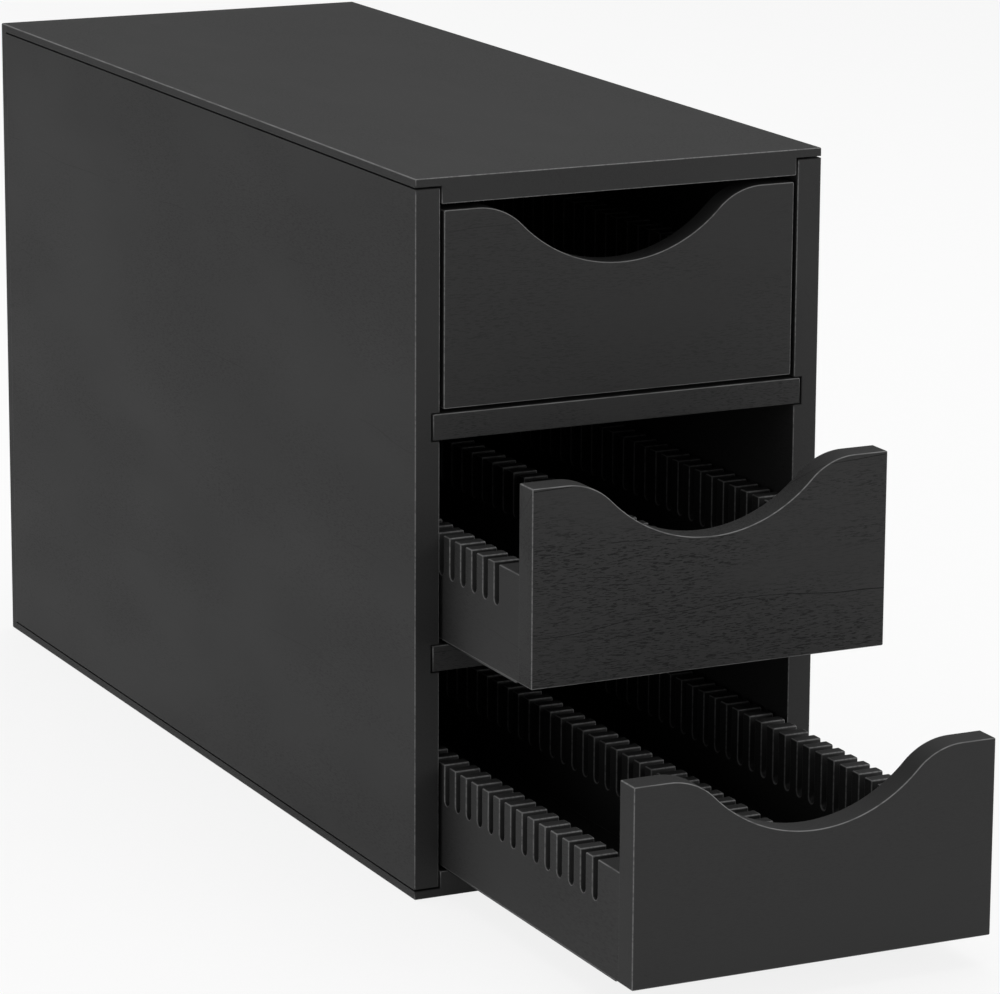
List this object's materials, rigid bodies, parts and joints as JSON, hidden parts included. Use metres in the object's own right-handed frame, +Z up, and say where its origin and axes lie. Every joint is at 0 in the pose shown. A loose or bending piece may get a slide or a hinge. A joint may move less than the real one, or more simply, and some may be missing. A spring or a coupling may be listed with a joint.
{
  "type": "coffee pod drawer cabinet",
  "caption": "Narrow countertop cabinet of dark-stained thin boards with pull-out drawers, each with a wave-cut front and slotted combs for round capsules on edge.",
  "frame": {"origin": "centre of the cabinet's underside", "axes": "+X to the right of someone who faces the drawers, +Y from the drawer fronts to the rear, +Z up; the drawers pull out along -Y"},
  "size_m": [0.1526, 0.53, 0.248],
  "materials": {
    "case_board": "satin black stain on board",
    "drawer_board": "satin black stain on board",
    "thin_board": "matte black stain on thin board",
    "dowel": "bare beech",
    "pin": "plain steel",
    "glide": "smooth low-friction strip"
  },
  "bodies": {
    "cabinet": {"top_panel": "case_board", "bottom_panel": "case_board", "left_side_panel": "case_board", "right_side_panel": "case_board", "upper_shelf": "case_board", "lower_shelf": "case_board", "back_panel": "thin_board", "back_pins": "pin"},
    "top_drawer": {"top_front": "drawer_board", "top_left_comb": "drawer_board", "top_right_comb": "drawer_board", "top_centre_comb": "drawer_board", "top_back": "drawer_board", "top_floor": "thin_board", "top_dowels": "dowel", "top_glides": "glide"},
    "middle_drawer": {"middle_front": "drawer_board", "middle_left_comb": "drawer_board", "middle_right_comb": "drawer_board", "middle_centre_comb": "drawer_board", "middle_back": "drawer_board", "middle_floor": "thin_board", "middle_dowels": "dowel", "middle_glides": "glide"},
    "bottom_drawer": {"bottom_front": "drawer_board", "bottom_left_comb": "drawer_board", "bottom_right_comb": "drawer_board", "bottom_centre_comb": "drawer_board", "bottom_back": "drawer_board", "bottom_floor": "thin_board", "bottom_dowels": "dowel", "bottom_glides": "glide"}
  },
  "joints": [
    {"name": "top_drawer_slide", "type": "slide", "parent": "cabinet", "child": "top_drawer", "axis": [0, -1, 0], "range_m": [0, 0.3]},
    {"name": "middle_drawer_slide", "type": "slide", "parent": "cabinet", "child": "middle_drawer", "axis": [0, -1, 0], "range_m": [-0.067, 0.233]},
    {"name": "bottom_drawer_slide", "type": "slide", "parent": "cabinet", "child": "bottom_drawer", "axis": [0, -1, 0], "range_m": [-0.14, 0.16]}
  ]
}
